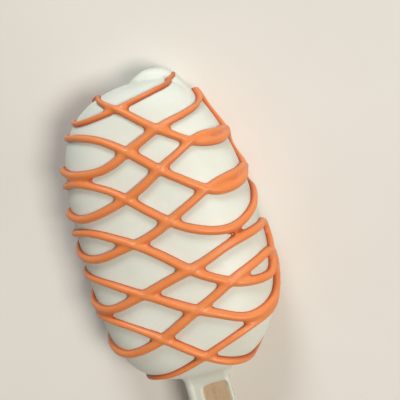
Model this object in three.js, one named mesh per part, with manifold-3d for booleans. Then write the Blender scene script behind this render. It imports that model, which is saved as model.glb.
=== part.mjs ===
// A cakesicle: a coated cake on a flat wooden stick, with one line of icing piped back and forth over it.
// It lies on its flat back. +Z points out of the decorated front, +Y to the rounded crown, and the stick
// runs towards -Y. The origin is on the flat back, under the middle of the cake. Lengths are millimetres.
import * as THREE from "three";
import { mergeVertices } from "three/addons/utils/BufferGeometryUtils.js";
import Module from "manifold-3d";

const wasm = await Module();
wasm.setup();

// ---------------------------------------------------------------- driving dimensions

const AXIS_HEIGHT = 12; // the cake's long axis, and the stick's middle plane, above the flat back
const GAP = 0.3; // clearance between pieces that touch

// The main dome. In plan, each side follows a superellipse from the widest line to either end. Every
// cross-section is a superellipse too, and `endPower` says how squarely its depth closes at the two ends.
const dome = {
  foot: -45,
  widest: -7.5,
  crown: 40.3,
  left: { halfWidth: 25.3, footPower: 3.3, crownPower: 3.1, taper: 0 },
  right: { halfWidth: 26.5, footPower: 2.6, crownPower: 2.6, taper: 0.08 },
  front: { depth: 15, sectionPower: 2.5 },
  back: { depth: 13.5, sectionPower: 3.2 },
  endPower: 4,
};

// A second, thinner lobe that stands out behind the dome as a step at the crown.
const shoulder = {
  foot: -43,
  widest: 22,
  crown: 43,
  left: { halfWidth: 8.6, power: 1.8 },
  right: { halfWidth: 17.8, power: 2.1 },
  front: { depth: 3.2, sectionPower: 2.2 },
  back: { depth: 13.5, sectionPower: 3.2 },
  endPower: 3.5,
};
const SHOULDER_BLEND = 1.6; // width of the soft valley between the two lobes
const CROWN_LEAN = 6; // how far the very top leans to the right, in a bend that is sharpest near the top
const LEAN_POWER = 6;

const stick = { width: 10, thickness: 2, length: 114, inCake: 52, easedEdge: 0.3 };

// The coating that ran down over the stick, thicker on the left by `leftExtra`. It flares where it leaves the
// cake. `levels` are the heights at which its sections lie. It is cut off below a wavy edge, which runs high
// over the bare wood in front.
const collar = {
  skin: 0.95,
  leftExtra: 1.2,
  flare: 3.6,
  flareTop: -44.4,
  flareLength: 2,
  cornerRadius: 1.3,
  levels: [-64, -54, -51, -49, -47.6, -46.6, -45.8, -45, -43.5, -40],
};
const FRONT_EDGE = [
  [-9, -58.4], [-7, -60.4], [-4.8, -60.8], [-3.2, -58.8], [-2.5, -54.5], [-2.2, -50.4], [-1.4, -49.8],
  [2.8, -49.2], [4.4, -49.3], [5.2, -50.6], [5.4, -52.4], [5.5, -56.5], [6.2, -58.2], [8, -58],
];
const BACK_EDGE = [[-9, -58.4], [-4, -58.2], [-0.5, -56.6], [3, -56.2], [5.6, -57.4], [8, -58]];
const CUT_DEPTH = 6; // the cut reaches this far in front of and behind the stick's middle plane

// The icing line. Its place on the cake is given as an angle round the long axis, in degrees from the front
// with the right side positive, and a height along Y. Passes run to the left and to the right by turns. Each
// lists the heights at which it crosses the STATIONS, from left to right, its widths at the left, in the
// middle and at the right, and the bend on the side wall that follows it.
const bead = { heightShare: 0.5, tipReach: 0.7 };
const BEAD_PROFILE = [[-0.5, 0], [-0.44, 0.6], [-0.2, 1], [0.2, 1], [0.44, 0.6], [0.5, 0]];
const STATIONS = [-80, -60, -35, 0, 35, 60, 80];
const START = [[97, 40.2], [86, 39.7]];
const passes = [
  {
    heights: [33.8, 33.7, 34.6, 36.1, 37.5, 38.2, 39.2],
    widths: [1.65, 1.85, 1.5],
    bend: [[-94, 33.3], [-107, 32.8], [-117, 33.6], [-121, 35.2], [-115, 36.8], [-103, 37.8], [-91, 38.5]],
  },
  {
    heights: [38.9, 38.5, 36.8, 33.1, 26.6, 21, 19.7],
    widths: [1.4, 2.4, 2.4],
    bend: [[94, 20.2], [104, 21.8], [111, 25.5], [113, 28.8], [110, 31.8], [102.5, 33.5], [96, 32]],
  },
  {
    heights: [21.6, 20.3, 20.3, 24.4, 28.2, 29.7, 30.8],
    widths: [2.35, 2.5, 1.75],
    bend: [[-88, 21.2], [-101, 21.7], [-111, 24.2], [-111, 27.5], [-97, 29.5]],
  },
  {
    heights: [30, 30.2, 28.3, 22.2, 13.6, 7.2, 7.3],
    widths: [1.85, 2.7, 2.6],
    bend: [[92, 8.6], [102, 10.5], [109, 13], [110, 17.5], [98, 21.1]],
  },
  {
    heights: [9.4, 7.9, 9.7, 13.5, 19, 22.7, 22.1],
    widths: [2.4, 2.7, 2],
    bend: [[-87.5, 9.5], [-100, 10], [-108, 12], [-105, 14.6], [-95, 16.3]],
  },
  {
    heights: [17, 17.8, 14.7, 6.5, -0.9, -3.8, -1.1],
    widths: [1.85, 2.7, 2.45],
    bend: [[98, 2.2], [110, 5], [103, 8.8], [92, 9.9]],
  },
  {
    heights: [-2, -3.9, -2.3, 0.2, 5.1, 9.4, 10],
    widths: [2.35, 2.7, 2.15],
    bend: [[-88, -0.5], [-97, 0.9], [-99, 2.3], [-91, 3.1]],
  },
  {
    heights: [3.5, 3.9, 0.3, -6.3, -14.5, -19.4, -20],
    widths: [2.25, 2.9, 2.75],
    bend: [[87, -16.8], [97, -11], [95, -7]],
  },
  {
    heights: [-17, -18.9, -16.7, -13.8, -11.1, -7.7, -6.7],
    widths: [2.4, 2.9, 2.65],
    bend: [[-89, -15.6], [-98.5, -12.8], [-102, -10], [-93, -8.2]],
  },
  {
    heights: [-8.2, -10.4, -14.9, -20.5, -25.5, -29.3, -27.1],
    widths: [1.95, 3, 2.8],
    bend: [[90, -22.8], [98, -18], [88, -15]],
  },
  {
    heights: [-30.3, -32.7, -31, -26.5, -21.5, -16.6, -14.3],
    widths: [2.4, 2.9, 2.6],
    bend: [[-88, -29], [-98, -26.8], [-102, -23.2], [-94, -20.8]],
  },
  {
    heights: [-20.3, -22.3, -27.1, -34.2, -39.9, -41.8, -42],
    widths: [1.95, 2.8, 2.1],
    bend: [
      [97, -41.8], [109, -40.6], [115, -36], [113, -28], [107, -20], [96, -16], [91, -19.5], [90, -25.5],
    ],
  },
  { heights: [-42, -41.7, -41.2, -38.9, -35.3, -31.9, -29.2], widths: [1.4, 2.1, 2.5], bend: [] },
];

const colours = { coating: 0xe6e3d2, wood: 0xc9a97e, icing: 0xf08241 };

// Mesh fineness. Along the icing, a new section is set after `longStep`, or sooner where it turns by `turn`
// degrees, but never closer than `shortStep`.
const cakeMesh = { rows: 32, sides: 42 };
const icingMesh = { longStep: 3.6, shortStep: 0.9, turn: 21, samples: 600 };

// ---------------------------------------------------------------- small helpers

const radians = (degrees) => (degrees * Math.PI) / 180;
const clamp01 = (x) => Math.min(1, Math.max(0, x));
const stepsBetween = (first, last, count) =>
  Array.from({ length: count + 1 }, (_, i) => first + ((last - first) * i) / count);

// Falls from 1 at t = 0 to 0 at t = 1 along a superellipse: the higher the power, the squarer the end.
const roundOff = (t, power) => (1 - clamp01(t) ** power) ** (1 / power);

// The larger of two lengths, with a soft join `blend` wide where they are nearly alike.
function softMax(a, b, blend) {
  const share = clamp01(0.5 + (0.5 * (a - b)) / blend);
  return b * (1 - share) + a * share + blend * share * (1 - share);
}

// Distance from the axis to a superellipse of those half sizes, in the direction (cos, sin).
function superellipse(cos, sin, halfWidth, depth, power) {
  const across = Math.abs(cos) / Math.max(halfWidth, 1e-6);
  const out = Math.abs(sin) / Math.max(depth, 1e-6);
  return (across ** power + out ** power) ** (-1 / power);
}

function solidFromGeometry(geometry) {
  const bare = geometry.clone();
  bare.deleteAttribute("normal");
  bare.deleteAttribute("uv");
  const merged = mergeVertices(bare, 1e-4);
  const vertProperties = merged.attributes.position.array;
  const triVerts = new Uint32Array(merged.index.array);
  return new wasm.Manifold(new wasm.Mesh({ numProp: 3, vertProperties, triVerts }));
}

// A closed solid through a row of rings that all have the same number of points. Each end closes on a tip.
function solidFromRings(rings, firstTip, lastTip) {
  const count = rings[0].length;
  const points = [firstTip, ...rings.flat(), lastTip];
  const last = points.length - 1;
  const triangles = [];
  for (let i = 0; i < count; i++) {
    const next = (i + 1) % count;
    triangles.push(0, 1 + next, 1 + i);
    triangles.push(last, last - count + i, last - count + next);
    for (let r = 0; r < rings.length - 1; r++) {
      const a = 1 + r * count + i;
      const b = 1 + r * count + next;
      triangles.push(a, b, b + count, a, b + count, a + count);
    }
  }
  const geometry = new THREE.BufferGeometry().setFromPoints(points).setIndex(triangles);
  return solidFromGeometry(geometry);
}

function meshOf(solid, name, colour, roughness) {
  const { vertProperties, triVerts } = solid.getMesh();
  const geometry = new THREE.BufferGeometry();
  geometry.setAttribute("position", new THREE.BufferAttribute(vertProperties, 3));
  geometry.setIndex(new THREE.BufferAttribute(triVerts, 1));
  geometry.computeVertexNormals();
  const material = new THREE.MeshStandardMaterial({ color: colour, roughness, metalness: 0 });
  const mesh = new THREE.Mesh(geometry, material);
  mesh.name = name;
  return mesh;
}

// ---------------------------------------------------------------- the cake's surface

// Distance from the long axis to the dome at height y, in the direction (cos, sin) of the cross-section.
function domeRadius(cos, sin, y) {
  const side = cos >= 0 ? dome.right : dome.left;
  const face = sin >= 0 ? dome.front : dome.back;
  const above = y > dome.widest;
  const along = (y - dome.widest) / ((above ? dome.crown : dome.foot) - dome.widest);
  const taper = 1 + (side.taper * (y - dome.widest)) / dome.foot;
  const halfWidth = side.halfWidth * taper * roundOff(along, above ? side.crownPower : side.footPower);
  const depth = face.depth * roundOff(along, dome.endPower);
  return superellipse(cos, sin, halfWidth, depth, face.sectionPower);
}

function shoulderRadius(cos, sin, y) {
  const face = sin >= 0 ? shoulder.front : shoulder.back;
  const side = cos >= 0 ? shoulder.right : shoulder.left;
  const end = y > shoulder.widest ? shoulder.crown : shoulder.foot;
  const along = (y - shoulder.widest) / (end - shoulder.widest);
  const halfWidth = side.halfWidth * roundOff(along, side.power);
  const depth = face.depth * roundOff(along, shoulder.endPower);
  return superellipse(cos, sin, halfWidth, depth, face.sectionPower);
}

// The point of the surface at that angle from the front (radians, right side positive) and height y, or
// `lift` further out. The back is cut flat.
function cakePoint(angle, y, lift = 0) {
  const cos = Math.sin(angle);
  const sin = Math.cos(angle);
  const radius = softMax(domeRadius(cos, sin, y), shoulderRadius(cos, sin, y), SHOULDER_BLEND) + lift;
  const lean = CROWN_LEAN * (Math.max(y, 0) / shoulder.crown) ** LEAN_POWER;
  return new THREE.Vector3(radius * cos + lean, y, Math.max(0, AXIS_HEIGHT + radius * sin));
}

function cakeNormal(angle, y) {
  const step = 0.03;
  const around = cakePoint(angle + step, y).sub(cakePoint(angle - step, y));
  const along = cakePoint(angle, y + 10 * step).sub(cakePoint(angle, y - 10 * step));
  return around.cross(along).normalize();
}

function makeCake(lift = 0) {
  const rings = [];
  for (let row = 1; row < cakeMesh.rows; row++) {
    const share = (1 - Math.cos((Math.PI * row) / cakeMesh.rows)) / 2;
    const y = THREE.MathUtils.lerp(dome.foot, shoulder.crown, share);
    const angles = stepsBetween(0, 2 * Math.PI, cakeMesh.sides).slice(0, -1);
    rings.push(angles.map((angle) => cakePoint(angle, y, lift)));
  }
  const foot = new THREE.Vector3(0, dome.foot - lift, AXIS_HEIGHT);
  const crown = new THREE.Vector3(CROWN_LEAN, shoulder.crown + lift, AXIS_HEIGHT);
  return solidFromRings(rings, foot, crown);
}

// ---------------------------------------------------------------- the stick and the coating over it

// The stick with `margin` added all round and its edges eased.
function makeStick(margin) {
  const radius = stick.width / 2 + margin - stick.easedEdge;
  const reach = (stick.length - stick.width) / 2;
  const outline = new THREE.Shape();
  outline.absarc(0, reach, radius, 0, Math.PI);
  outline.absarc(0, -reach, radius, Math.PI, 2 * Math.PI);
  const depth = stick.thickness + 2 * margin - 2 * stick.easedEdge;
  const geometry = new THREE.ExtrudeGeometry(outline, {
    depth,
    bevelThickness: stick.easedEdge,
    bevelSize: stick.easedEdge,
    bevelSegments: 1,
    curveSegments: 7,
  });
  geometry.translate(0, dome.foot + stick.inCake - stick.length / 2, AXIS_HEIGHT - depth / 2);
  return solidFromGeometry(geometry);
}

// A ring round the stick with rounded corners, standing `skin` off its faces and a little more on the left.
function collarRing(y, skin) {
  const radius = Math.min(collar.cornerRadius + 0.4 * (skin - collar.skin), stick.thickness / 2 + skin);
  const ring = [];
  for (const start of [0, 90, 180, 270]) {
    for (const angle of [start, start + 45, start + 90].map(radians)) {
      const middle = radians(start + 45);
      const side = Math.sign(Math.sin(middle));
      const cornerX = side * (stick.width / 2 + skin - radius) - (side < 0 ? collar.leftExtra : 0);
      const cornerZ = Math.sign(Math.cos(middle)) * (stick.thickness / 2 + skin - radius);
      const x = cornerX + radius * Math.sin(angle);
      const z = cornerZ + radius * Math.cos(angle);
      ring.push(new THREE.Vector3(x, y, AXIS_HEIGHT + z));
    }
  }
  return ring;
}

// A block over all that lies below a wavy edge across the stick, from `bottom` up by the cut's depth.
function blockBelow(edge, bottom) {
  const corners = edge.map(([x, y]) => new THREE.Vector3(x, y, 0));
  const curve = new THREE.CatmullRomCurve3(corners, false, "centripetal");
  const wave = curve.getPoints(2 * edge.length);
  const outline = new THREE.Shape(wave.map(({ x, y }) => new THREE.Vector2(x, y)));
  const floor = collar.levels[0] - GAP;
  outline.lineTo(corners.at(-1).x, floor);
  outline.lineTo(corners[0].x, floor);
  const geometry = new THREE.ExtrudeGeometry(outline, { depth: CUT_DEPTH, bevelEnabled: false });
  return solidFromGeometry(geometry.translate(0, 0, bottom));
}

function makeCollar() {
  const rings = collar.levels.map((y) => {
    const below = Math.max(0, collar.flareTop - y);
    return collarRing(y, collar.skin + collar.flare * Math.exp(-below / collar.flareLength));
  });
  const ends = [collar.levels[0], collar.levels.at(-1)];
  return solidFromRings(rings, ...ends.map((y) => new THREE.Vector3(0, y, AXIS_HEIGHT)))
    .subtract(blockBelow(FRONT_EDGE, AXIS_HEIGHT))
    .subtract(blockBelow(BACK_EDGE, AXIS_HEIGHT - CUT_DEPTH));
}

const makeCoatedCake = () => makeCake().add(makeCollar()).subtract(makeStick(GAP));

// ---------------------------------------------------------------- the icing

// The whole line as a smooth curve on a flat chart of the cake, distance round it against height. Also the
// shares of the curve at its two ends and at the middle of every bend, where one stretch hands over to the
// next.
const CHART_RADIUS = 20;
function icingRoute() {
  const stops = START.map((stop) => [...stop, passes[0].widths[2]]);
  const cuts = [0];
  passes.forEach(({ heights, widths: [left, middle, right], bend }, index) => {
    const across = STATIONS.map((angle, i) => {
      const share = Math.abs(angle / STATIONS.at(-1));
      return [angle, heights[i], THREE.MathUtils.lerp(middle, angle < 0 ? left : right, share)];
    });
    const leftwards = index % 2 === 0;
    stops.push(...(leftwards ? across.reverse() : across));
    stops.push(...bend.map((stop) => [...stop, leftwards ? left : right]));
    cuts.push(stops.length - 1 - Math.floor(bend.length / 2));
  });
  const lastStop = stops.length - 1;
  const points = stops.map(([angle, y]) => new THREE.Vector3(radians(angle) * CHART_RADIUS, y, 0));
  const curve = new THREE.CatmullRomCurve3(points, false, "centripetal");
  const widthAt = (share) => {
    const from = Math.floor(share * lastStop);
    const to = Math.min(from + 1, lastStop);
    return THREE.MathUtils.lerp(stops[from][2], stops[to][2], share * lastStop - from);
  };
  return { curve, widthAt, cuts: cuts.map((stop) => stop / lastStop) };
}

// Where the line runs at that share of the curve: its foot on the cake, the way out, the way along, and how
// wide the icing is there.
function icingFrame({ curve, widthAt }, share) {
  const [here, before, after] = [0, -0.0005, 0.0005].map((step) => curve.getPoint(clamp01(share + step)));
  const [foot, from, to] = [here, before, after].map(({ x, y }) => cakePoint(x / CHART_RADIUS, y));
  const out = cakeNormal(here.x / CHART_RADIUS, here.y);
  return { foot, out, along: to.sub(from).normalize(), width: widthAt(clamp01(share)) };
}

// The half-round section of the icing. Its flat underside stays clear of the coating.
function icingRing({ foot, out, along, width }) {
  const across = along.clone().cross(out).normalize();
  return BEAD_PROFILE.map(([side, rise]) => {
    const beside = foot.clone().addScaledVector(across, side * width);
    return beside.addScaledVector(out, GAP + rise * width * bead.heightShare);
  });
}

// One stretch of the line as a solid. Its free ends come to a blunt tip, and the others are cut square.
function icingStretch(route, from, to, isFirst, isLast) {
  const frames = stepsBetween(from, to, icingMesh.samples).map((share) => icingFrame(route, share));
  const kept = [frames[0]];
  frames.slice(1, -1).forEach((frame) => {
    const last = kept.at(-1);
    const run = frame.foot.distanceTo(last.foot);
    const left = frame.foot.distanceTo(frames.at(-1).foot);
    const turned = frame.along.angleTo(last.along) + 0.5 * frame.out.angleTo(last.out);
    const due = run > icingMesh.longStep || turned > radians(icingMesh.turn);
    if (due && Math.min(run, left) > icingMesh.shortStep) kept.push(frame);
  });
  kept.push(frames.at(-1));
  const tip = (frame, reach) => {
    const rise = GAP + (frame.width * bead.heightShare) / 2;
    const middle = frame.foot.clone().addScaledVector(frame.out, rise);
    return middle.addScaledVector(frame.along, reach);
  };
  const firstTip = tip(kept[0], isFirst ? -bead.tipReach : 0);
  const lastTip = tip(kept.at(-1), isLast ? bead.tipReach : 0);
  return solidFromRings(kept.map(icingRing), firstTip, lastTip);
}

function makeIcing() {
  const route = icingRoute();
  const { cuts } = route;
  const stretches = passes.map((_, i) =>
    icingStretch(route, cuts[i], cuts[i + 1], i === 0, i === passes.length - 1),
  );
  return wasm.Manifold.union(stretches).subtract(makeCake(GAP / 2));
}

// ---------------------------------------------------------------- the whole cakesicle

const cakesicle = new THREE.Group();
cakesicle.name = "cakesicle";
cakesicle.add(
  meshOf(makeCoatedCake(), "coated_cake", colours.coating, 0.4),
  meshOf(makeStick(0), "wooden_stick", colours.wood, 0.7),
  meshOf(makeIcing(), "piped_icing", colours.icing, 0.35),
);

export default cakesicle;
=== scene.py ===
# %% [markdown]
# # A cakesicle with one piped line of icing
# A cakesicle is a small cake, pressed in an oval mould round a flat wooden stick, dipped in melted white
# coating, and decorated. This one lies on its flat back with the decorated side up. The lesson makes it in
# three pieces, the coating, the stick and the icing, and then gives each one a finish.
#
# The solids that we start from are the frame. They say where everything is, so we measure them first and
# keep our own pieces in the same place and at the same size.

# %% Load the frame and measure it
import math

import bpy
import numpy as np
from mathutils import Matrix, Vector


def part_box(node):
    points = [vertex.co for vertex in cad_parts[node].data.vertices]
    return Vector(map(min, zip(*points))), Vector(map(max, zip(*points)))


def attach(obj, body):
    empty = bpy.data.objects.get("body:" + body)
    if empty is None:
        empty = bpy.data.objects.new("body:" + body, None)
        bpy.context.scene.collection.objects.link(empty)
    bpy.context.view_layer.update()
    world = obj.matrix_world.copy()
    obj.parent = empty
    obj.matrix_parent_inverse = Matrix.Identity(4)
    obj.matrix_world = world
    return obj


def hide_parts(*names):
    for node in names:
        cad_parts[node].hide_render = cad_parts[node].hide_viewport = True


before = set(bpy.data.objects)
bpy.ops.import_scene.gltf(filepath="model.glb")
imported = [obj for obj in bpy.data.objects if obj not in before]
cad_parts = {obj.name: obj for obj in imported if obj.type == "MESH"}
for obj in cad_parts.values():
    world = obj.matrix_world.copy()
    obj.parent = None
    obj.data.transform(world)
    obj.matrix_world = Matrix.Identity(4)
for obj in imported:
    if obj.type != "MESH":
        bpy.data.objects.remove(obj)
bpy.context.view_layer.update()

MM = 0.001  # the sizes below are in millimetres, and Blender works in metres
cake_low, cake_high = (np.array(corner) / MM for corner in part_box("coated_cake"))
stick_low, stick_high = (np.array(corner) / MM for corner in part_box("wooden_stick"))
STICK_MIDDLE = (stick_low + stick_high) / 2
AXIS_HEIGHT = STICK_MIDDLE[2]  # the cake's long axis above the table
CROWN = cake_high[1]
print("cake from", cake_low.round(1), "to", cake_high.round(1), "mm; axis at", round(AXIS_HEIGHT, 2))

# %% [markdown]
# ## The form of the cake as a formula
# The cake has two lobes. The main dome is broad and deep, and a thinner lobe stands out behind it at the
# crown, where the cake was pushed over the edge of its mould. We could sculpt this, or bend a cage of a few
# faces. A formula is better here: outlines and sections of moulded food are close to superellipses, which are
# ellipses with squarer or rounder shoulders, and a formula also tells us later exactly where the icing lies.

# %% Rounded curves and a soft join


def round_off(t, power):
    """Falls from 1 at t = 0 to 0 at t = 1: the higher the power, the squarer the end."""
    return (1 - np.clip(t, 0, 1) ** power) ** (1 / power)


def soft_max(a, b, blend):
    """The larger of two lengths, with a soft join where they are nearly alike."""
    share = np.clip(0.5 + 0.5 * (a - b) / blend, 0, 1)
    return b * (1 - share) + a * share + blend * share * (1 - share)


def rounded_section(angle, half_width, depth, power):
    """Distance from the long axis to the rim of a section, at an angle from the front."""
    across = np.abs(np.sin(angle)) / np.maximum(half_width, 1e-6)
    out = np.abs(np.cos(angle)) / np.maximum(depth, 1e-6)
    return (across ** power + out ** power) ** (-1 / power)


print("half way to its end, a side of power 3 still has", round(float(round_off(0.5, 3)), 3), "of its width")

# %% [markdown]
# ## The two lobes
# Each lobe has a height at which it is widest, and it rounds off from there to both ends. Left and right,
# back and front have their own measures, because no cake comes out of its mould quite even. The two lobes
# are joined with a narrow soft valley, for the coating has run into the step between them and rounded it.

# %% Measures of the lobes
# Heights run along the stick. A power says how square an end or a section is.
DOME_FOOT, DOME_WIDEST, DOME_CROWN = -45.0, -7.5, 40.3
DOME_LEFT, DOME_RIGHT, DOME_BACK, DOME_FRONT = 25.3, 26.5, 13.5, 15.0  # reach from the long axis
DOME_END_LEFT_LOW, DOME_END_LEFT_HIGH, DOME_END_RIGHT, DOME_END_DEPTH = 3.3, 3.1, 2.6, 4.0  # powers
RIGHT_TAPER = 0.08  # how much the right side widens to the foot and narrows to the crown

SHOULDER_FOOT, SHOULDER_WIDEST = -43.0, 22.0
SHOULDER_LEFT, SHOULDER_RIGHT, SHOULDER_BACK, SHOULDER_FRONT = 8.6, 17.8, 13.5, 3.2
SHOULDER_END_LEFT, SHOULDER_END_RIGHT, SHOULDER_END_DEPTH = 1.8, 2.1, 3.5  # powers

DOME_FRONT_POWER, SHOULDER_FRONT_POWER, BACK_POWER = 2.5, 2.2, 3.2  # of the sections
SHOULDER_BLEND = 1.6  # width of the soft valley between the two lobes
CROWN_LEAN, LEAN_POWER = 6.0, 6  # the very top leans to the right
print("dome", DOME_CROWN - DOME_FOOT, "mm long and", DOME_LEFT + DOME_RIGHT, "mm wide")

# %% The point of the surface at any angle and height


def dome_radius(angle, y):
    right, front, above = np.sin(angle) >= 0, np.cos(angle) >= 0, y > DOME_WIDEST
    along = (y - DOME_WIDEST) / (np.where(above, DOME_CROWN, DOME_FOOT) - DOME_WIDEST)
    taper = 1 + np.where(right, RIGHT_TAPER, 0.0) * (y - DOME_WIDEST) / DOME_FOOT
    end_power = np.where(right, DOME_END_RIGHT, np.where(above, DOME_END_LEFT_HIGH, DOME_END_LEFT_LOW))
    half_width = np.where(right, DOME_RIGHT, DOME_LEFT) * taper * round_off(along, end_power)
    depth = np.where(front, DOME_FRONT, DOME_BACK) * round_off(along, DOME_END_DEPTH)
    return rounded_section(angle, half_width, depth, np.where(front, DOME_FRONT_POWER, BACK_POWER))


def shoulder_radius(angle, y):
    right, front = np.sin(angle) >= 0, np.cos(angle) >= 0
    end = np.where(y > SHOULDER_WIDEST, CROWN, SHOULDER_FOOT)
    along = (y - SHOULDER_WIDEST) / (end - SHOULDER_WIDEST)
    end_power = np.where(right, SHOULDER_END_RIGHT, SHOULDER_END_LEFT)
    half_width = np.where(right, SHOULDER_RIGHT, SHOULDER_LEFT) * round_off(along, end_power)
    depth = np.where(front, SHOULDER_FRONT, SHOULDER_BACK) * round_off(along, SHOULDER_END_DEPTH)
    return rounded_section(angle, half_width, depth, np.where(front, SHOULDER_FRONT_POWER, BACK_POWER))


def cake_radius(angle, y):
    return soft_max(dome_radius(angle, y), shoulder_radius(angle, y), SHOULDER_BLEND)


def cake_point(angle, y, table_edge=0.0):
    """The surface at that angle and height. `table_edge` rounds the rim of the flat back."""
    angle, y = np.broadcast_arrays(np.asarray(angle, float), np.asarray(y, float))
    radius = cake_radius(angle, y)
    lean = CROWN_LEAN * (np.maximum(y, 0) / CROWN) ** LEAN_POWER
    z = AXIS_HEIGHT + radius * np.cos(angle)
    z = soft_max(z, 0, table_edge) if table_edge else np.maximum(z, 0)
    return np.stack([radius * np.sin(angle) + lean, y, z], axis=-1)


print("front at mid height:", cake_point(0, 0).round(2), "right side:", cake_point(math.pi / 2, 0).round(2))

# %% [markdown]
# ## Evenly spaced columns
# The coating's mesh is a net of columns that run from the crown to the foot, and on down the stick. On the
# cake they should stand evenly round its oval section, and on the stick evenly round its thin flat one, or
# faces would be starved at the sides. So we walk round each section once and cut it into equal lengths.

# %% Columns round the cake
COLUMNS = 288
STEPS_ROUND = 7200  # small steps of the walk round the cake


def along_length(points):
    """How far along a line of points each one is."""
    steps = np.linalg.norm(np.diff(points, axis=0), axis=1)
    return np.concatenate([[0], np.cumsum(steps)])


dense_angles = np.linspace(0, 2 * math.pi, STEPS_ROUND + 1)
walked = along_length(cake_point(dense_angles, DOME_WIDEST)[:, [0, 2]])
column_share = np.arange(COLUMNS) / COLUMNS
column_angle = np.interp(column_share * walked[-1], walked, dense_angles)
print(COLUMNS, "columns on a section", round(walked[-1]), "mm round")

# %% Columns round the stick
# A core rectangle, with a quarter turn of the outward direction at each corner.
STICK_HALF = (stick_high - stick_low) / 2
EASED_EDGE = 0.3  # radius of the stick's own edges
OUTER = 1.3  # radius of the corners at which the columns are evenly spaced
core_x, core_z = STICK_HALF[0] - EASED_EDGE, STICK_HALF[2] - EASED_EDGE
corner = OUTER * math.pi / 2
loop_parts = [0, core_x, corner, 2 * core_z, corner, 2 * core_x, corner, 2 * core_z, corner, core_x]
loop_lengths = np.cumsum(loop_parts)
loop_turns = np.radians([0, 0, 90, 90, 180, 180, 270, 270, 360, 360])
loop_x = core_x * np.array([0, 1, 1, 1, 1, -1, -1, -1, -1, 0])
loop_z = core_z * np.array([1, 1, 1, -1, -1, -1, -1, 1, 1, 1])
ROUND_STICK = loop_lengths[-1]
column_round = column_share * ROUND_STICK  # distance of each column round the stick, from the front middle
column_turn = np.interp(column_round, loop_lengths, loop_turns)
column_core = np.stack([np.interp(column_round, loop_lengths, side) for side in (loop_x, loop_z)], axis=-1)
column_out = np.stack([np.sin(column_turn), np.cos(column_turn)], axis=-1)
print("the same columns go", round(ROUND_STICK, 1), "mm round the coated stick")

# %% [markdown]
# ## The edge of the coating on the stick
# When the cake was dipped, the coating ran down over the stick and set there. In front it was wiped off or
# never took, so that bare wood shows between a tongue on the left and a thin rim on the right. The edge is a
# wavy line round the stick. We write it as a few stops, distance round the stick and height, and run a
# smooth curve through them. The line must close on itself, so we lay three turns of stops end to end and keep
# the middle turn with a little of its neighbours.

# %% A smooth curve through stops
COATING_EDGE = [
    (-4.6, -60.8), (-3.2, -58.8), (-2.5, -54.5), (-2.2, -50.3), (-1.6, -49.8), (2.8, -49.2), (4.8, -49.4),
    (5.7, -50.8), (6.0, -52.6), (6.1, -56.0), (6.5, -58.0), (7.6, -58.4), (9.5, -57.3), (11.5, -56.3),
    (15.4, -56.6), (18.9, -58.1), (21.0, -59.2), (23.4, -60.5),
]
EDGE_STEPS = 8  # steps of the curve between two stops
EDGE_OVERLAP = 8  # millimetres kept of the turn before and of the turn after


def smooth_line(stops, steps):
    """A centripetal Catmull-Rom curve, which passes through every stop without overshooting."""
    stops = np.asarray(stops, float)
    stops = np.vstack([2 * stops[0] - stops[1], stops, 2 * stops[-1] - stops[-2]])
    before, start, end, after = stops[:-3], stops[1:-2], stops[2:-1], stops[3:]
    gaps = np.sqrt(np.linalg.norm(np.diff(stops, axis=0), axis=1))[:, None]
    first, span, last = gaps[:-2], gaps[1:-1], gaps[2:]
    leave = span * ((start - before) / first - (end - before) / (first + span)) + (end - start)
    arrive = span * ((after - end) / last - (after - start) / (span + last)) + (end - start)
    t = (np.arange(steps) / steps)[None, :, None]
    start, end, leave, arrive = (part[:, None, :] for part in (start, end, leave, arrive))
    curve = (
        start * (2 * t**3 - 3 * t**2 + 1) + end * (3 * t**2 - 2 * t**3)
        + leave * (t**3 - 2 * t**2 + t) + arrive * (t**3 - t**2)
    )
    return np.vstack([curve.reshape(-1, stops.shape[1]), stops[-2]])


print(len(COATING_EDGE), "stops on the edge of the coating")

# %% The edge as one closed line
one_turn = np.array([ROUND_STICK, 0])
edge_stops = np.array(COATING_EDGE)
edge_line = smooth_line(np.vstack([edge_stops - one_turn, edge_stops, edge_stops + one_turn]), EDGE_STEPS)
edge_line = edge_line[(edge_line[:, 0] > -EDGE_OVERLAP) & (edge_line[:, 0] < ROUND_STICK + EDGE_OVERLAP)]


def inside_edge(round_stick, y):
    """How far a place on the stick is inside the coating's edge, or minus how far outside."""
    place = np.stack([round_stick, y], axis=-1)[..., None, :]
    start, step = edge_line[:-1], np.diff(edge_line, axis=0)
    share = np.clip(((place - start) * step).sum(-1) / (step**2).sum(-1), 0, 1)
    distance = np.linalg.norm(place - start - share[..., None] * step, axis=-1).min(-1)
    return np.where(y > np.interp(round_stick, *edge_line.T), distance, -distance)


print("the edge runs from", edge_line[:, 1].min().round(1), "to", edge_line[:, 1].max().round(1), "mm")

# %% [markdown]
# ## The corner between the stick and the cake
# Where the skin on the stick meets the foot of the cake, the coating has filled the corner. On the left it is
# a tight hollow. On the right it is wide, and starts on the stick as a slope. We move outwards from the stick
# along an arc, a quarter circle on the left and less of a turn on the right, and take the height of the
# cake's foot from the formula at each place.

# %% Rings of the corner
SKIN = 0.95  # thickness of the coating on the stick
LEFT_EXTRA = 1.2  # more of it has gathered on the stick's left side
FILLET_LEFT, FILLET_RIGHT = 3.2, 7.5  # radius of the corner
FLARE_RIGHT = math.radians(35)  # slope at which the corner starts on the right
FILLET_RINGS = 13
HALVINGS = 30


def ring_round_stick(offset):
    """Points (x, z) at that distance outside the stick, one for each column."""
    middle = np.array([STICK_MIDDLE[0], AXIS_HEIGHT])
    return middle + column_core + column_out * (EASED_EDGE + np.asarray(offset)[..., None])


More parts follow.
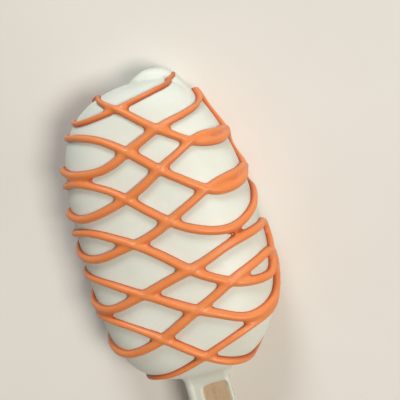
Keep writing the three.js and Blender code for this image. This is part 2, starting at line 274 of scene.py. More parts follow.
def foot_height(place):
    """Height at which the foot of the cake passes through a place (x, z), found by halving."""
    across, out = place[..., 0], place[..., 1] - AXIS_HEIGHT
    angle, reach = np.arctan2(across, out), np.hypot(across, out)
    low, high = np.full(reach.shape, DOME_FOOT), np.full(reach.shape, DOME_WIDEST)
    for _ in range(HALVINGS):
        middle = (low + high) / 2
        wide_enough = cake_radius(angle, middle) > reach
        low, high = np.where(wide_enough, low, middle), np.where(wide_enough, middle, high)
    return (low + high) / 2


def with_height(place, y):
    return np.stack([place[..., 0], np.broadcast_to(y, place.shape[:-1]), place[..., 1]], axis=-1)


rightness = (1 + column_out[:, 0]) / 2  # 0 on the left of the stick, 1 on its right
fillet = FILLET_LEFT + (FILLET_RIGHT - FILLET_LEFT) * rightness
flare = FLARE_RIGHT * rightness
fillet_turns = math.pi / 2 + (flare - math.pi / 2) * np.linspace(0, 1, FILLET_RINGS)[:, None]
column_skin = SKIN + LEFT_EXTRA * np.clip(-column_out[:, 0], 0, 1)
fillet_places = ring_round_stick(column_skin + fillet * (np.cos(flare) - np.cos(fillet_turns)))
fillet_rings = with_height(fillet_places, foot_height(fillet_places) - fillet * (1 - np.sin(fillet_turns)))
print("corner rings", fillet_rings.shape, "skin from", column_skin.min(), "to", column_skin.max(), "mm")

# %% [markdown]
# ## The skin of coating on the stick
# The skin is one to two millimetres thick. It keeps its thickness up to nearly a millimetre from its edge,
# and there it rounds off, as any thick liquid does that sets on a dry surface. Outside the edge we let the
# surface sink a little way into the wood. Later the stick is cut out of the coating, and the cut leaves a
# clean lip.

# %% Rings of the skin
LIP = 0.85  # the skin is at full thickness this far from its edge
SINK_RATE, SUNK = 2, 0.35  # how fast the surface sinks outside the edge, and how deep into the wood
COLLAR_END, WALL_RINGS = -62.5, 95  # the net ends inside the wood, a little below the edge
wall_top = fillet_rings[-1, :, 1]
wall_share = np.linspace(0, 1, WALL_RINGS + 1)[1:, None]
wall_heights = wall_top + (COLLAR_END - wall_top) * wall_share
depth_inside = inside_edge(np.broadcast_to(column_round, wall_heights.shape), wall_heights)
lip_round = np.sqrt(1 - (1 - np.clip(depth_inside / LIP, 0, 1)) ** 2)
thickness = np.where(depth_inside > 0, column_skin * lip_round, np.maximum(SINK_RATE * depth_inside, -SUNK))
wall_rings = with_height(ring_round_stick(thickness), wall_heights)
print("skin rings", wall_rings.shape)

# %% [markdown]
# ## The cake's own rings
# On the cake the rows should also be evenly spaced, but along each column, because the columns drop steeply
# at the crown, at the step between the two lobes and at the foot. We follow each column in very small steps,
# measure its length and cut it into equal parts.
#
# Between the cake's lowest full ring and the corner the surface is nearly flat. There the rings change over
# from the cake's oval to the shape round the stick.

# %% Rows from the crown to the foot
BODY_ROWS, FOOT_ROWS, FOOT_RING = 158, 14, -40.0
TABLE_EDGE = 1.2  # the rim of the flat back is this soft
STEPS_DOWN = 2400  # small steps of the walk down a column, finest at both ends
fine_share = (1 - np.cos(np.linspace(0, math.pi, STEPS_DOWN + 1))) / 2
fine_heights = CROWN + (FOOT_RING - CROWN) * fine_share
body_rings = np.empty((BODY_ROWS, COLUMNS, 3))
for column, angle in enumerate(column_angle):
    walked = along_length(cake_point(angle, fine_heights, TABLE_EDGE))
    wanted = np.linspace(0, walked[-1], BODY_ROWS + 1)[1:]
    body_rings[:, column] = cake_point(angle, np.interp(wanted, walked, fine_heights), TABLE_EDGE)

change = np.linspace(0, 1, FOOT_ROWS + 1)[1:-1, None, None]
foot_places = body_rings[-1][:, [0, 2]] * (1 - change) + fillet_places[0] * change
foot_rings = with_height(foot_places, foot_height(foot_places))
print("body rings", body_rings.shape, "foot rings", foot_rings.shape)

# %% [markdown]
# ## Small unevenness of a dipped coating
# Melted coating never sets dead flat. It has slow waves about a tenth of a millimetre high, and here and
# there a tiny pit where an air bubble burst. Noise textures could fake both in the finish, but waves change
# how the light runs over the whole cake, so we put them in the mesh. A sum of a few long sine waves in random
# directions is smooth everywhere. The random numbers are seeded, so the cake comes out the same each time.

# %% Slow waves and outward directions


def slow_waves(points, seed, shortest, longest, count=26):
    """A smooth random height for each point, about -1 to 1."""
    rng = np.random.default_rng(seed)
    direction = rng.normal(size=(count, 3))
    direction /= np.linalg.norm(direction, axis=1)[:, None]
    length = shortest * (longest / shortest) ** rng.random(count)
    phase = rng.random(count) * 2 * math.pi
    wave = np.sin(points @ (direction * (2 * math.pi / length)[:, None]).T + phase)
    weight = length / length.mean()
    return (wave * weight).sum(-1) / np.sqrt(2 * (weight**2).sum())


def ring_normals(rings):
    """Outward direction at each point of a net of rings."""
    around = np.roll(rings, -1, axis=1) - np.roll(rings, 1, axis=1)
    down = np.gradient(rings, axis=0)
    out = np.cross(down, around)
    return out / np.maximum(np.linalg.norm(out, axis=-1), 1e-9)[..., None]


rings = np.concatenate([body_rings, foot_rings, fillet_rings, wall_rings])
outward = ring_normals(rings)
print("the coating's net has", rings.shape[0], "rings and", rings.shape[1], "columns")

# %% Waves and pits on the coating
WAVE_HEIGHT, WAVE_SEED, WAVE_SHORTEST, WAVE_LONGEST = 0.09, 4, 9, 34
CALM_FOOT, CALM_FOOT_SPAN, CALM_TABLE_SPAN = -50, 6, 3  # the waves fade towards the stick and the table
PITS = [(20.4, 7.5, 0.16), (54.4, 5.0, 0.12), (23.2, -10.0, 0.1)]  # angle, height on the cake, depth
PIT_RADIUS, PIT_STEEPNESS = 0.75, 2

fade = np.clip((rings[..., 1] - CALM_FOOT) / CALM_FOOT_SPAN, 0, 1)
fade = fade * np.clip(rings[..., 2] / CALM_TABLE_SPAN, 0, 1)
swell = WAVE_HEIGHT * slow_waves(rings, WAVE_SEED, WAVE_SHORTEST, WAVE_LONGEST) * fade
for pit_angle, pit_height, pit_depth in PITS:
    from_pit = np.linalg.norm(rings - cake_point(math.radians(pit_angle), pit_height), axis=-1)
    swell -= pit_depth * np.exp(-PIT_STEEPNESS * (from_pit / PIT_RADIUS) ** 2)
rings = rings + outward * swell[..., None]
print("waves from", swell.min().round(2), "to", swell.max().round(2), "mm")

# %% [markdown]
# ## A closed mesh from rings
# One helper makes every mesh of this lesson: it joins each ring to the next with four-sided faces and closes
# both ends on a point. Quads in even rows shade smoothly and leave no gaps.

# %% From rings to an object


def closed_net(rings, first_tip, last_tip):
    """Points and faces of a closed net. Rings are (rings, points, 3)."""
    count, size = rings.shape[:2]
    points = np.vstack([np.reshape(first_tip, (1, 3)), rings.reshape(-1, 3), np.reshape(last_tip, (1, 3))])
    here = np.arange(size)
    beside = np.roll(here, -1)
    faces = [(0, 1 + b, 1 + a) for a, b in zip(here, beside)]
    for ring in range(count - 1):
        top, low = 1 + ring * size, 1 + (ring + 1) * size
        faces += list(zip(top + here, top + beside, low + beside, low + here))
    end = 1 + (count - 1) * size
    faces += [(len(points) - 1, end + a, end + b) for a, b in zip(here, beside)]
    return points, faces


def as_object(name, points, faces):
    mesh = bpy.data.meshes.new(name)
    mesh.from_pydata((np.asarray(points) * MM).tolist(), [], [tuple(map(int, face)) for face in faces])
    mesh.validate()
    mesh.shade_smooth()
    piece = bpy.data.objects.new(name, mesh)
    bpy.context.scene.collection.objects.link(piece)
    return piece


def applied(piece):
    """Makes the modifiers' result the piece's own mesh."""
    bpy.context.view_layer.update()
    result = bpy.data.meshes.new_from_object(piece.evaluated_get(bpy.context.evaluated_depsgraph_get()))
    piece.modifiers.clear()
    piece.data = result
    return piece


crown_tip = rings[0].mean(axis=0)
crown_tip[1] = CROWN
wall_end = (STICK_MIDDLE[0], COLLAR_END, AXIS_HEIGHT)
coating = as_object("coating", *closed_net(rings, crown_tip, wall_end))
print("coating:", len(coating.data.polygons), "faces")

# %% [markdown]
# ## The wooden stick
# A flat stick of birch, stamped out with round ends and tumbled so that its edges are eased. A box with
# bevels would be quick, but it has no even net of faces. We take the outline of the stick and shrink it
# towards its middle line in steps, on the back and on the front, with a quarter round between them.

# %% Shrinking outlines
STICK_LENGTH = stick_high[1] - stick_low[1]
STICK_CENTRE = STICK_MIDDLE[1]
END_POINTS, SIDE_POINTS = 40, 88  # points round one end and along one side
FLAT_INSETS = np.linspace(4.2, 0.8, 5)  # rings on the flat faces, from the middle line to the edge
EDGE_TURNS = np.radians(np.linspace(0, 90, 6))  # rings of the eased edge


def stick_outline(inset, height):
    """The stick's outline, drawn in by `inset`, at a height from its middle plane."""
    radius = STICK_HALF[0] - inset
    reach = STICK_LENGTH / 2 - STICK_HALF[0]
    turns = np.linspace(0, math.pi, END_POINTS)
    side = np.linspace(1, -1, SIDE_POINTS + 2)[1:-1] * reach
    straight = np.full(SIDE_POINTS, radius)
    x = np.concatenate([radius * np.cos(turns), -straight, -radius * np.cos(turns), straight])
    y = np.concatenate([reach + radius * np.sin(turns), side, -reach - radius * np.sin(turns), -side])
    return np.stack([x, STICK_CENTRE + y, np.full(x.shape, AXIS_HEIGHT + height)], axis=-1)


def stick_rings(grow=0.0):
    """Rings from the middle of the back round the edge to the middle of the front."""
    insets = np.concatenate([FLAT_INSETS, EASED_EDGE * (1 - np.sin(EDGE_TURNS))]) - grow
    drops = np.concatenate([np.zeros(len(FLAT_INSETS)), EASED_EDGE * (1 - np.cos(EDGE_TURNS))])
    heights = STICK_HALF[2] + grow - drops
    back = [stick_outline(inset, -height) for inset, height in zip(insets, heights)]
    front = [stick_outline(inset, height) for inset, height in zip(insets, heights)]
    return np.array(back + front[::-1])


def make_stick(name, grow=0.0):
    rings = stick_rings(grow)
    tips = [(STICK_MIDDLE[0], STICK_CENTRE, rings[end][0, 2]) for end in (0, -1)]
    return as_object(name, *closed_net(rings, *tips))


stick = make_stick("stick")
print("stick:", len(stick.data.polygons), "faces,", round(STICK_LENGTH), "mm long")

# %% [markdown]
# ## Cutting the stick out of the coating
# Now the stick is cut from the coating, with a hair's breadth of room. That leaves a close pocket inside the
# cake and a clean lip where the coating ends on the wood. We could have left the two running through each
# other, but then the lip would have no edge of its own.

# %% A pocket for the stick
ROOM = 0.02
SHARP_EDGE = math.radians(55)  # faces that meet at more than this keep a crisp edge
cutter = make_stick("cutter", grow=ROOM)
cut = coating.modifiers.new("pocket", "BOOLEAN")
cut.operation = "DIFFERENCE"
cut.solver = "MANIFOLD"
cut.object = cutter
applied(coating)
bpy.data.objects.remove(cutter)
coating.data.shade_smooth()
coating.data.set_sharp_from_angle(angle=SHARP_EDGE)
print("coating with its pocket:", len(coating.data.polygons), "faces")

# %% [markdown]
# ## The route of the icing
# The icing is one line, piped back and forth from the crown to the foot in thirteen passes, with a bend down
# the side wall after each. A pen stroke on the flat cannot follow a domed cake, so we draw on a chart of
# its surface: angle round the long axis one way and height the other. Each pass says how high it
# crosses seven stations, how wide it is at its left, middle and right, and which few stops its bend has
# further round. One smooth curve runs through them all. The strand is widest over the middle of the cake,
# where the hand moved slowest, and thins towards the crown.

# %% Stops of the line
STATIONS = [-80, -60, -35, 0, 35, 60, 80]
START = [(97, 40.2), (86, 39.7)]
# Each pass: heights at the stations, widths at the left, middle and right, and the bend that follows.
PASSES = [
    (
        [33.8, 33.7, 34.6, 36.1, 37.5, 38.2, 39.2],
        (1.65, 1.85, 1.5),
        [(-94, 33.3), (-107, 32.8), (-117, 33.6), (-121, 35.2), (-115, 36.8), (-103, 37.8), (-91, 38.5)],
    ),
    (
        [38.9, 38.5, 36.8, 33.1, 26.6, 21, 19.7],
        (1.4, 2.4, 2.4),
        [(94, 20.2), (104, 21.8), (111, 25.5), (113, 28.8), (110, 31.8), (102.5, 33.5), (96, 32)],
    ),
    (
        [21.6, 20.3, 20.3, 24.4, 28.2, 29.7, 30.8],
        (2.35, 2.5, 1.75),
        [(-88, 21.2), (-101, 21.7), (-111, 24.2), (-111, 27.5), (-97, 29.5)],
    ),
    (
        [30, 30.2, 28.3, 22.2, 13.6, 7.2, 7.3],
        (1.85, 2.7, 2.6),
        [(92, 8.6), (102, 10.5), (109, 13), (110, 17.5), (98, 21.1)],
    ),
    (
        [9.4, 7.9, 9.7, 13.5, 19, 22.7, 22.1],
        (2.4, 2.7, 2),
        [(-87.5, 9.5), (-100, 10), (-108, 12), (-105, 14.6), (-95, 16.3)],
    ),
    (
        [17, 17.8, 14.7, 6.5, -0.9, -3.8, -1.1],
        (1.85, 2.7, 2.45),
        [(98, 2.2), (110, 5), (103, 8.8), (92, 9.9)],
    ),
    (
        [-2, -3.9, -2.3, 0.2, 5.1, 9.4, 10],
        (2.35, 2.7, 2.15),
        [(-88, -0.5), (-97, 0.9), (-99, 2.3), (-91, 3.1)],
    ),
    (
        [3.5, 3.9, 0.3, -6.3, -14.5, -19.4, -20],
        (2.25, 2.9, 2.75),
        [(87, -16.8), (97, -11), (95, -7)],
    ),
    (
        [-17, -18.9, -16.7, -13.8, -11.1, -7.7, -6.7],
        (2.4, 2.9, 2.65),
        [(-89, -15.6), (-98.5, -12.8), (-102, -10), (-93, -8.2)],
    ),
    (
        [-8.2, -10.4, -14.9, -20.5, -25.5, -29.3, -27.1],
        (1.95, 3, 2.8),
        [(90, -22.8), (98, -18), (88, -15)],
    ),
    (
        [-30.3, -32.7, -31, -26.5, -21.5, -16.6, -14.3],
        (2.4, 2.9, 2.6),
        [(-88, -29), (-98, -26.8), (-102, -23.2), (-94, -20.8)],
    ),
    (
        [-20.3, -22.3, -27.1, -34.2, -39.9, -41.8, -42],
        (1.95, 2.8, 2.1),
        [(97, -41.8), (109, -40.6), (115, -36), (113, -28), (107, -20), (96, -16), (91, -19.5), (90, -25.5)],
    ),
    (
        [-42, -41.7, -41.2, -38.9, -35.3, -31.9, -29.2],
        (1.4, 2.1, 2.5),
        [],
    ),
]
print(len(PASSES), "passes over", len(STATIONS), "stations")

# %% One curve on the chart
CHART_RADIUS = 20  # turns an angle on the chart into a distance
CURVE_STEPS = 60
width_stations = [STATIONS[0], 0, STATIONS[-1]]
route_stops = [(*stop, PASSES[0][1][-1]) for stop in START]
for number, (heights, widths, bend) in enumerate(PASSES):
    across = list(zip(STATIONS, heights, np.interp(STATIONS, width_stations, widths)))
    leftwards = number % 2 == 0
    route_stops += across[::-1] if leftwards else across
    route_stops += [(*stop, widths[0] if leftwards else widths[-1]) for stop in bend]
route_stops = np.array(route_stops, float)
chart_stops = route_stops[:, :2] * np.array([math.radians(1) * CHART_RADIUS, 1])
chart_line = smooth_line(chart_stops, CURVE_STEPS)
stop_numbers = np.arange(len(chart_line)) / CURVE_STEPS
line_width = np.interp(stop_numbers, np.arange(len(route_stops)), route_stops[:, 2])
print("a curve through", len(route_stops), "stops")

# %% [markdown]
# ## Laying the line on the cake
# The chart's curve is laid on the cake and cut into steps of a third of a millimetre, measured on the cake.
# At each step we need three directions: along the line, straight out of the cake and across the line. A
# running average keeps them steady where the line turns sharply or runs over the step between the lobes.

# %% Steps along the line
BEAD_STEP = 0.33
fine_line = cake_point(chart_line[:, 0] / CHART_RADIUS, chart_line[:, 1])
fine_walked = along_length(fine_line)
bead_walked = np.arange(0, fine_walked[-1], BEAD_STEP)
chart_angle = np.interp(bead_walked, fine_walked, chart_line[:, 0]) / CHART_RADIUS
chart_height = np.interp(bead_walked, fine_walked, chart_line[:, 1])
bead_width = np.interp(bead_walked, fine_walked, line_width)
bead_foot = cake_point(chart_angle, chart_height)
print("the line is", round(fine_walked[-1]), "mm long, in", len(bead_foot), "steps")

# %% Directions along the line
TURN_STEP, RISE_STEP = 0.03, 0.3  # small steps round and up the cake, between which its slope is measured
STEADY_OUT, STEADY_ALONG = 3, 2  # reach of the running averages, in steps


def unit(vectors):
    return vectors / np.linalg.norm(vectors, axis=-1)[:, None]


def softened(values, reach):
    """A running average with a bell-shaped weight, `reach` steps wide."""
    weights = np.exp(-np.linspace(-2, 2, 4 * reach + 1) ** 2)
    padded = np.pad(values, [(2 * reach, 2 * reach)] + [(0, 0)] * (values.ndim - 1), mode="edge")
    columns = padded.reshape(len(padded), -1).T
    smooth = np.array([np.convolve(column, weights / weights.sum(), mode="valid") for column in columns])
    return smooth.T.reshape(values.shape)


left_of, right_of = (cake_point(chart_angle + turn, chart_height) for turn in (-TURN_STEP, TURN_STEP))
below, above = (cake_point(chart_angle, chart_height + rise) for rise in (-RISE_STEP, RISE_STEP))
bead_out = unit(softened(unit(np.cross(right_of - left_of, above - below)), STEADY_OUT))
bead_along = unit(np.gradient(softened(bead_foot, STEADY_ALONG), axis=0))
bead_across = unit(np.cross(bead_along, bead_out))
print("half way along, the line points", bead_along[len(bead_along) // 2].round(2))

# %% [markdown]
# ## How wide the strand is, and where it climbs
# No hand squeezes a piping bag perfectly evenly, so the width of the strand wanders by a few per cent. The
# line starts as a thin thread over the crown, and then has a blunt knob where the flow caught up. Where a
# pass crosses an older one it climbs over it, but not by its whole height, because both are still soft.

# %% Width along the line
WANDER, WANDER_SEED, WANDER_SHORTEST, WANDER_LONGEST = 0.05, 11, 5, 26
WANDER_DRIFT = 40  # moves the waves along with the line, so that two passes at one place differ
THREAD_LENGTH, THREAD_WIDTH, THREAD_FADE = 4.4, 1.25, 0.5
KNOB_LENGTH, KNOB_PLACE, KNOB_SWELL, KNOB_POWER = 2.0, 0.9, 0.32, 4  # its place is past the thread's end
END_ROUND, END_BLUNT = 1.0, 0.12  # both ends of the line round off over this length, and end a little blunt

drift = WANDER_DRIFT * bead_walked[:, None] / fine_walked[-1]
wander = slow_waves(bead_foot + drift, WANDER_SEED, WANDER_SHORTEST, WANDER_LONGEST)
in_thread = np.clip((THREAD_LENGTH - bead_walked) / THREAD_FADE, 0, 1)
from_knob = (bead_walked - THREAD_LENGTH - KNOB_PLACE) / (KNOB_LENGTH / 2)
knob = 1 + KNOB_SWELL * np.exp(-from_knob ** KNOB_POWER)
bead_width = bead_width * (1 + WANDER * wander) * knob * (1 - in_thread) + THREAD_WIDTH * in_thread
ends = np.minimum(bead_walked, bead_walked[-1] - bead_walked)
end_round = np.sqrt(1 - (1 - np.clip((ends + END_BLUNT) / END_ROUND, 0, 1)) ** 2)
print("width from", bead_width.min().round(2), "to", bead_width.max().round(2), "mm")

# %% Climbing over older passes
CLIMB, CLIMB_REACH = 0.42, 1.9  # how far a later pass rises over an earlier one, and how close they must be
MUCH_EARLIER = 6.0  # only what was piped at least this far back along the line counts as earlier
CLIMB_STEADY = 3

climb = np.zeros(len(bead_foot))
for step, place in enumerate(bead_foot):
    earlier = bead_walked < bead_walked[step] - MUCH_EARLIER
    if earlier.any():
        near = np.linalg.norm(bead_foot[earlier] - place, axis=1).min() / CLIMB_REACH
        climb[step] = CLIMB * (1 - min(near, 1) ** 2) ** 2
climb = softened(climb, CLIMB_STEADY)
print("the line climbs at", round(100 * float((climb > CLIMB / 2).mean())), "% of its steps")

# %% [markdown]
# ## From line to icing
# Piped icing settles into a loaf: round on top, and widest just where it meets the coating, so that its sides
# stand up steeply. We sweep that section along the line. The net then runs through itself at every crossing,
# where the real passes melted into each other. A voxel remesh makes one new skin of the outside of it all.
#
# The creases between strands should be filled a little, as warm icing does before it sets. So we sweep the
# section too fat on purpose, remesh, and draw the skin in again by as much. The strands come back to their
# size, but the creases stay as round as if a small ball had been rolled along them.

# %% Sweep the loaf along the line
SIDES = 24
HIGH_TO_WIDE = 0.68  # the loaf's height as a share of its width
BEAD_SUNK, WIDEST_SUNK = 0.5, 0.3  # how deep in the coating its underside is, and its widest level
CREST_POWER, UNDERSIDE_POWER = 0.85, 0.6  # the smaller, the squarer
FILLET_RADIUS = 0.4  # how much too fat it is, and how round the creases become

side_turn = np.linspace(0, 2 * math.pi, SIDES, endpoint=False)
section_across = np.cos(side_turn) / 2
section_out = np.where(np.sin(side_turn) > 0, np.abs(np.sin(side_turn)) ** CREST_POWER, 0)
section_low = np.where(np.sin(side_turn) < 0, np.abs(np.sin(side_turn)) ** UNDERSIDE_POWER, 0)
wide = (bead_width * end_round + 2 * FILLET_RADIUS)[:, None, None]
high = (bead_width * HIGH_TO_WIDE * end_round + climb + FILLET_RADIUS + WIDEST_SUNK)[:, None, None]
low = BEAD_SUNK + FILLET_RADIUS - WIDEST_SUNK
bead_rings = (
    bead_foot[:, None, :]
    + bead_across[:, None, :] * section_across[:, None] * wide
    + bead_out[:, None, :] * (section_out[:, None] * high - section_low[:, None] * low - WIDEST_SUNK)
)
bead_tips = bead_rings[0].mean(axis=0), bead_rings[-1].mean(axis=0)
icing = as_object("icing", *closed_net(bead_rings[:, ::-1], *bead_tips))
print("swept icing:", len(icing.data.polygons), "faces")

# %% [markdown]
# ## Smoothing without shrinking
# A voxel skin has faint steps in it. The usual smoothing would take them away, but it also makes thin
# strands thinner. Ours pulls every point towards its neighbours and then pushes it back by nearly the same,
# which takes away the small steps and leaves the strands as they are.

# %% Even smoothing
PULL, PUSH = 0.5, -0.52


def mesh_points(piece):
    points = np.empty(len(piece.data.vertices) * 3)
    piece.data.vertices.foreach_get("co", points)
    return points.reshape(-1, 3)


def neighbour_pull(piece, points):
    """How far each point is from the middle of the points it is joined to."""
    edges = np.empty(len(piece.data.edges) * 2, dtype=int)
    piece.data.edges.foreach_get("vertices", edges)
    one, two = edges.reshape(-1, 2).T
    count = np.bincount(np.concatenate([one, two]), minlength=len(points))
    total = [
        np.bincount(one, points[two, axis], len(points)) + np.bincount(two, points[one, axis], len(points))
        for axis in range(3)
    ]
    return np.stack(total, axis=-1) / count[:, None] - points


def smooth_evenly(piece, rounds):
    """Each round pulls points together and then pushes back, so that nothing shrinks."""
    points = mesh_points(piece)
    for pull in (PULL, PUSH) * rounds:
        points = points + pull * neighbour_pull(piece, points)
    piece.data.vertices.foreach_set("co", points.ravel())
    piece.data.update()
    piece.data.shade_smooth()


print("each round pulls by", PULL, "of the way and pushes back by", -PUSH)

# %% Melt, draw in and smooth
VOXEL = 0.335
FIRST_ROUNDS, LAST_ROUNDS = 2, 8


def add_melt(piece):
    melt = piece.modifiers.new("melt", "REMESH")
    melt.mode = "VOXEL"
    melt.voxel_size = VOXEL * MM


add_melt(icing)
applied(icing)
smooth_evenly(icing, FIRST_ROUNDS)
draw_in = icing.modifiers.new("draw in", "DISPLACE")
draw_in.mid_level = 0
draw_in.strength = -FILLET_RADIUS * MM
add_melt(icing)
applied(icing)
smooth_evenly(icing, LAST_ROUNDS)
print("icing:", len(icing.data.polygons), "faces")

# %% [markdown]
# ## How high each place of the icing stands
# The finish paints shade into the icing's colour: darker at each strand's foot, where it meets the cake and
# the other strands, than on its crest. We measure how high each point of the icing stands off the cake, with
# the same formula, and keep it on the mesh for the finish to read.

# %% Height off the cake, kept on the mesh


def height_off_cake(points):
    """How far points in millimetres stand off the cake, measured from its long axis."""
    x, y, z = points.T
    x = x - CROWN_LEAN * (np.maximum(y, 0) / CROWN) ** LEAN_POWER
    angle, reach = np.arctan2(x, z - AXIS_HEIGHT), np.hypot(x, z - AXIS_HEIGHT)
    steepness = cake_radius(angle, y + RISE_STEP) - cake_radius(angle, y - RISE_STEP)
    return (reach - cake_radius(angle, y)) / np.hypot(1, steepness / (2 * RISE_STEP))


# This height is what the finish turns into painted shade at the strand's foot.
painted_shade_height = height_off_cake(mesh_points(icing) / MM)
painted_shade_attribute = icing.data.attributes.new("height", "FLOAT", "POINT")
painted_shade_attribute.data.foreach_set("value", painted_shade_height.astype(np.float32))
print("the icing stands", np.percentile(painted_shade_height, [5, 50, 95]).round(2), "mm off the cake")

# %% [markdown]
# ## Finishes
# Each finish is a small graph of nodes. This helper adds a node, sets its inputs and returns it, so that a
# graph reads like a list of what it does.

# %% A helper for node graphs


class Finish:
    """A material with a Principled shader, and short ways to add nodes to it."""

    def __init__(self, name):
        self.material = bpy.data.materials.new(name)
        self.material.use_nodes = True
        self.tree = self.material.node_tree
        self.shader = self.tree.nodes["Principled BSDF"]
        self.place = self.add("ShaderNodeTexCoord").outputs["Object"]

    def add(self, kind, inputs=None, **settings):
        node = self.tree.nodes.new(kind)
        for name, value in settings.items():
            setattr(node, name, value)
        for name, value in (inputs or {}).items():
            self.plug(value, node.inputs[name])
        return node

    def plug(self, value, socket):
        if isinstance(value, bpy.types.NodeSocket):
            self.tree.links.new(value, socket)
        else:
            socket.default_value = value

    def noise(self, size, detail=3.0, roughness=0.5, stretch=(1, 1, 1)):
        """Soft noise whose patches are about `size` millimetres wide."""
        scaled = self.add("ShaderNodeMapping", {"Vector": self.place, "Scale": stretch}).outputs["Vector"]
        inputs = {"Vector": scaled, "Scale": 1 / (size * MM), "Detail": detail, "Roughness": roughness}
        return self.add("ShaderNodeTexNoise", inputs).outputs["Fac"]

    def spread(self, value, low, high, start=0.3, end=0.7):
        """Turns what runs from `start` to `end` into what runs from `low` to `high`."""
        inputs = {"Value": value, "From Min": start, "From Max": end, "To Min": low, "To Max": high}
        return self.add("ShaderNodeMapRange", inputs).outputs["Result"]

    def mix(self, share, one, other):
        mixed = self.add("ShaderNodeMix", data_type="RGBA")
        for name, value in (("Factor_Float", share), ("A_Color", one), ("B_Color", other)):
            socket = next(s for s in mixed.inputs if s.identifier == name)
            self.plug(value, socket)
        return next(s for s in mixed.outputs if s.identifier == "Result_Color")

    def relief(self, height, depth, before=None):
        """Bumps `depth` millimetres deep."""
        inputs = {"Height": height, "Distance": depth * MM, "Strength": 1.0}
        bump = self.add("ShaderNodeBump", inputs)
        if before is not None:
            self.plug(before, bump.inputs["Normal"])
        return bump.outputs["Normal"]

    def finish(self, **sockets):
        for name, value in sockets.items():
            self.plug(value, self.shader.inputs[name.replace("_", " ")])
        return self.material


print("a finish can", ", ".join(name for name in vars(Finish) if not name.startswith("_")))

# %% Colours and covering a piece


def colour(red, green, blue):
    """A colour as a maker would pick it on a screen, 0 to 255, turned into the shader's own scale."""
    screen = np.array([red, green, blue]) / 255
    linear = np.where(screen <= 0.04045, screen / 12.92, ((screen + 0.055) / 1.055) ** 2.4)
    return (*map(float, linear), 1.0)


def cover(piece, material):
    piece.data.materials.clear()
    piece.data.materials.append(material)


print("a mid grey of 128 is", round(colour(128, 128, 128)[0], 3), "to the shader")

# %% [markdown]
# ## The white coating
# Set white coating is ivory, not paper white: cocoa butter makes it faintly yellow. Light goes a little way
# into it, which softens the shade, so it has some subsurface scattering. More of that would look like wax,
# and would draw a grey line along the icing, where the light that should come up is shut off. Its gloss is
# that of satin, duller in patches where the fat came up, and a very fine ripple breaks the reflections.

# %% Finish of the coating
coat = Finish("white coating")
cloud = coat.noise(14, detail=2)
fine = coat.noise(1.3, detail=3)
ripple = coat.noise(4.5, detail=2)
white_coating = coat.finish(
    Base_Color=coat.mix(coat.spread(cloud, 0.0, 1.0), colour(234, 238, 229), colour(229, 232, 221)),
    Roughness=coat.spread(coat.noise(6, detail=4), 0.42, 0.56),
    Normal=coat.relief(fine, 0.02, coat.relief(ripple, 0.10)),
    Subsurface_Weight=0.2,
    Subsurface_Radius=(1.0, 0.8, 0.6),
    Subsurface_Scale=1.2 * MM,
    IOR=1.45,
)
cover(coating, white_coating)
print("coating finish:", len(coat.tree.nodes), "nodes")

# %% [markdown]
# ## The orange icing
# The icing is the same kind of coating, dyed orange. Two near shades in soft patches keep it from looking
# like plastic, and the height that we kept on the mesh paints shade into it, a dark rust at the strand's
# foot.
# The dye is strong, so only a little light leaks through the thin sides.

# %% Finish of the icing
# The painted shade at the strand's foot fades out between these two heights off the cake.
SHADE_FOOT_LEVEL, SHADE_CREST_LEVEL = 0.05, 1.15  # heights off the cake between which the colour changes
dye = Finish("orange icing")
dye_cloud = dye.noise(7, detail=3)
crest_colour = dye.mix(dye.spread(dye_cloud, 0.0, 1.0), colour(243, 147, 86), colour(238, 139, 77))
off_cake = dye.add("ShaderNodeAttribute", attribute_name="height").outputs["Fac"]
painted_shade_to_lit = dye.spread(off_cake, 0.0, 1.0, SHADE_FOOT_LEVEL, SHADE_CREST_LEVEL)
orange_icing = dye.finish(
    # Painted shade: a dark rust colour at the strand's foot, the lit orange mix on its crest.
    Base_Color=dye.mix(painted_shade_to_lit, colour(170, 62, 20), crest_colour),
    Roughness=dye.spread(dye.noise(3, detail=3), 0.36, 0.46),
    Normal=dye.relief(dye.noise(0.9, detail=2), 0.03),
    Subsurface_Weight=0.12,
    Subsurface_Radius=(1.0, 0.45, 0.2),
    Subsurface_Scale=0.4 * MM,
    IOR=1.5,
)
cover(icing, orange_icing)
print("icing finish:", len(dye.tree.nodes), "nodes")

# %% [markdown]
# ## The bare wood
# Birch is pale with a fine straight grain along the stick. Noise that is stretched thirty times along one
# direction makes such grain. A second, coarser one makes the slow light and dark bands of the growth rings,
# and short dark flecks are the pores. Wood is matt and slightly fibrous to the touch, so the grain is also a
# shallow relief.

# %% Finish of the stick
PORE_START, PORE_END = 0.66, 0.74  # only the peaks of the noise become pores
wood = Finish("birch wood")
bands = wood.noise(2.6, detail=3, roughness=0.55, stretch=(1, 0.05, 1))
fibres = wood.noise(0.32, detail=4, roughness=0.6, stretch=(1, 0.03, 1))
pores = wood.noise(0.45, detail=1, stretch=(1, 0.10, 1))
wood_colour = wood.mix(wood.spread(bands, 0, 1), colour(224, 199, 168), colour(206, 178, 144))
wood_colour = wood.mix(wood.spread(fibres, 0, 0.5), wood_colour, colour(188, 157, 122))
wood_colour = wood.mix(wood.spread(pores, 0, 0.55, PORE_START, PORE_END), wood_colour, colour(140, 104, 70))
birch_wood = wood.finish(
    Base_Color=wood_colour,
    Roughness=wood.spread(fibres, 0.60, 0.78),
    Normal=wood.relief(fibres, 0.06),
    IOR=1.45,
)
cover(stick, birch_wood)
print("wood finish:", len(wood.tree.nodes), "nodes")

# %% [markdown]
# ## Each piece takes its place
# Nothing on a cakesicle moves, so all three pieces ride on the one body. Each stands for its solid, which is
# hidden, and keeps the finish that it was covered with above.

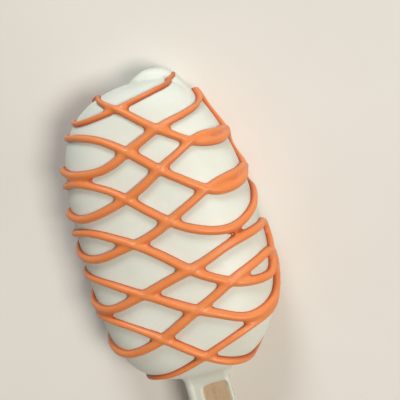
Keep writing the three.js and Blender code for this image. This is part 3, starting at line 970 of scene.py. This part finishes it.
# %% Ride and replace
for piece, node, slot in (
    (coating, "coated_cake", "white_coating"),
    (stick, "wooden_stick", "stick_wood"),
    (icing, "piped_icing", "orange_icing"),
):
    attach(piece, "root")
    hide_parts(node)
    print(piece.name, "stands for", node, "with the finish", slot)

# %% [markdown]
# ## The table
# A plain pale table to lie on, large enough that its edge stays far away. It is faintly warm, because what it
# throws back lights the underside of the cake, and a cold grey there would make the coating look stale.

# %% Table
TABLE_HALF = 1500
table_corners = [(x * TABLE_HALF, y * TABLE_HALF, 0) for x, y in ((-1, -1), (1, -1), (1, 1), (-1, 1))]
table = as_object("table", table_corners, [(0, 1, 2, 3)])
top = Finish("pale table")
blotches = top.spread(top.noise(60, detail=3), 0, 1)
table_colour = top.mix(blotches, colour(237, 233, 227), colour(232, 228, 221))
cover(table, top.finish(Base_Color=table_colour, Roughness=0.6))
print("table:", 2 * TABLE_HALF, "mm square")

# %% [markdown]
# ## The light
# Three large soft lights and a pale room that is only weakly lit. A cool one stands beyond the crown like a
# window, a warmer one hangs overhead on the right like a lamp, and the third, weak and warm, is what a side
# wall throws back. They make the shade run softly from the crown to the foot and give each strand of icing a
# light side and a dark side, which is what makes it look round. All are over a metre and a half away, so that
# the crown is hardly nearer to them than the foot.

# %% Lights
bpy.context.scene.view_settings.view_transform = "Standard"
cake_middle = Vector((0, 0, AXIS_HEIGHT)) * MM


def soft_light(name, place, size, power, tint):
    """A square light at a place in millimetres, facing the middle of the cake."""
    light = bpy.data.lights.new(name, "AREA")
    light.shape = "SQUARE"
    light.size = size * MM
    light.energy = power
    light.color = tint
    lamp = bpy.data.objects.new(name, light)
    lamp.location = Vector(place) * MM
    lamp.rotation_euler = (cake_middle - lamp.location).to_track_quat("-Z", "Y").to_euler()
    bpy.context.scene.collection.objects.link(lamp)


soft_light("window", (110, 1380, 800), 520, 13.2, (0.9, 0.97, 1.0))
soft_light("lamp", (780, -160, 1380), 560, 15.0, (1.0, 0.955, 0.87))
soft_light("side wall", (1160, -840, 710), 520, 1.2, (1.0, 0.76, 0.6))
room = bpy.data.worlds.new("room")
room.use_nodes = True
room_light = room.node_tree.nodes["Background"]
room_light.inputs["Color"].default_value = (1.0, 0.91, 0.83, 1)
room_light.inputs["Strength"].default_value = 0.15
bpy.context.scene.world = room
print("three soft lights and a pale room")

# %% [markdown]
# ## The camera
# The camera looks down on the front of the cake from a little to its right and a little beyond its crown,
# and it is rolled, so that the crown leans left. A long lens from 38 centimetres away keeps the proportions
# natural. It aims slightly to the upper right of the cake, which puts the cake left of the middle of the
# picture and lets the stick run out at the bottom.

# %% Place and aim
LENS, SENSOR_WIDTH, DISTANCE = 120, 36, 380
YAW, PITCH, ROLL = map(math.radians, (13.5, 10.0, -15.7))
AIM_RIGHT, AIM_UP = 9.98, 6.13
towards_eye = Vector((math.sin(YAW) * math.cos(PITCH), math.sin(PITCH), math.cos(YAW) * math.cos(PITCH)))
level_right = Vector((0, 1, 0)).cross(towards_eye).normalized()
level_up = towards_eye.cross(level_right)
picture_right = level_right * math.cos(ROLL) + level_up * math.sin(ROLL)
picture_up = level_up * math.cos(ROLL) - level_right * math.sin(ROLL)

camera_data = bpy.data.cameras.new("camera")
camera_data.lens = LENS
camera_data.sensor_width = SENSOR_WIDTH
camera = bpy.data.objects.new("camera", camera_data)
eye = cake_middle + towards_eye * DISTANCE * MM
aim = cake_middle + (picture_right * AIM_RIGHT + picture_up * AIM_UP) * MM
backward = (eye - aim).normalized()
right = picture_up.cross(backward).normalized()
up = backward.cross(right)
camera.matrix_world = Matrix.Translation(eye) @ Matrix((right, up, backward)).transposed().to_4x4()
bpy.context.scene.collection.objects.link(camera)
bpy.context.scene.camera = camera
print("the camera is", DISTANCE, "mm from the cake with a", LENS, "mm lens")

# %% [markdown]
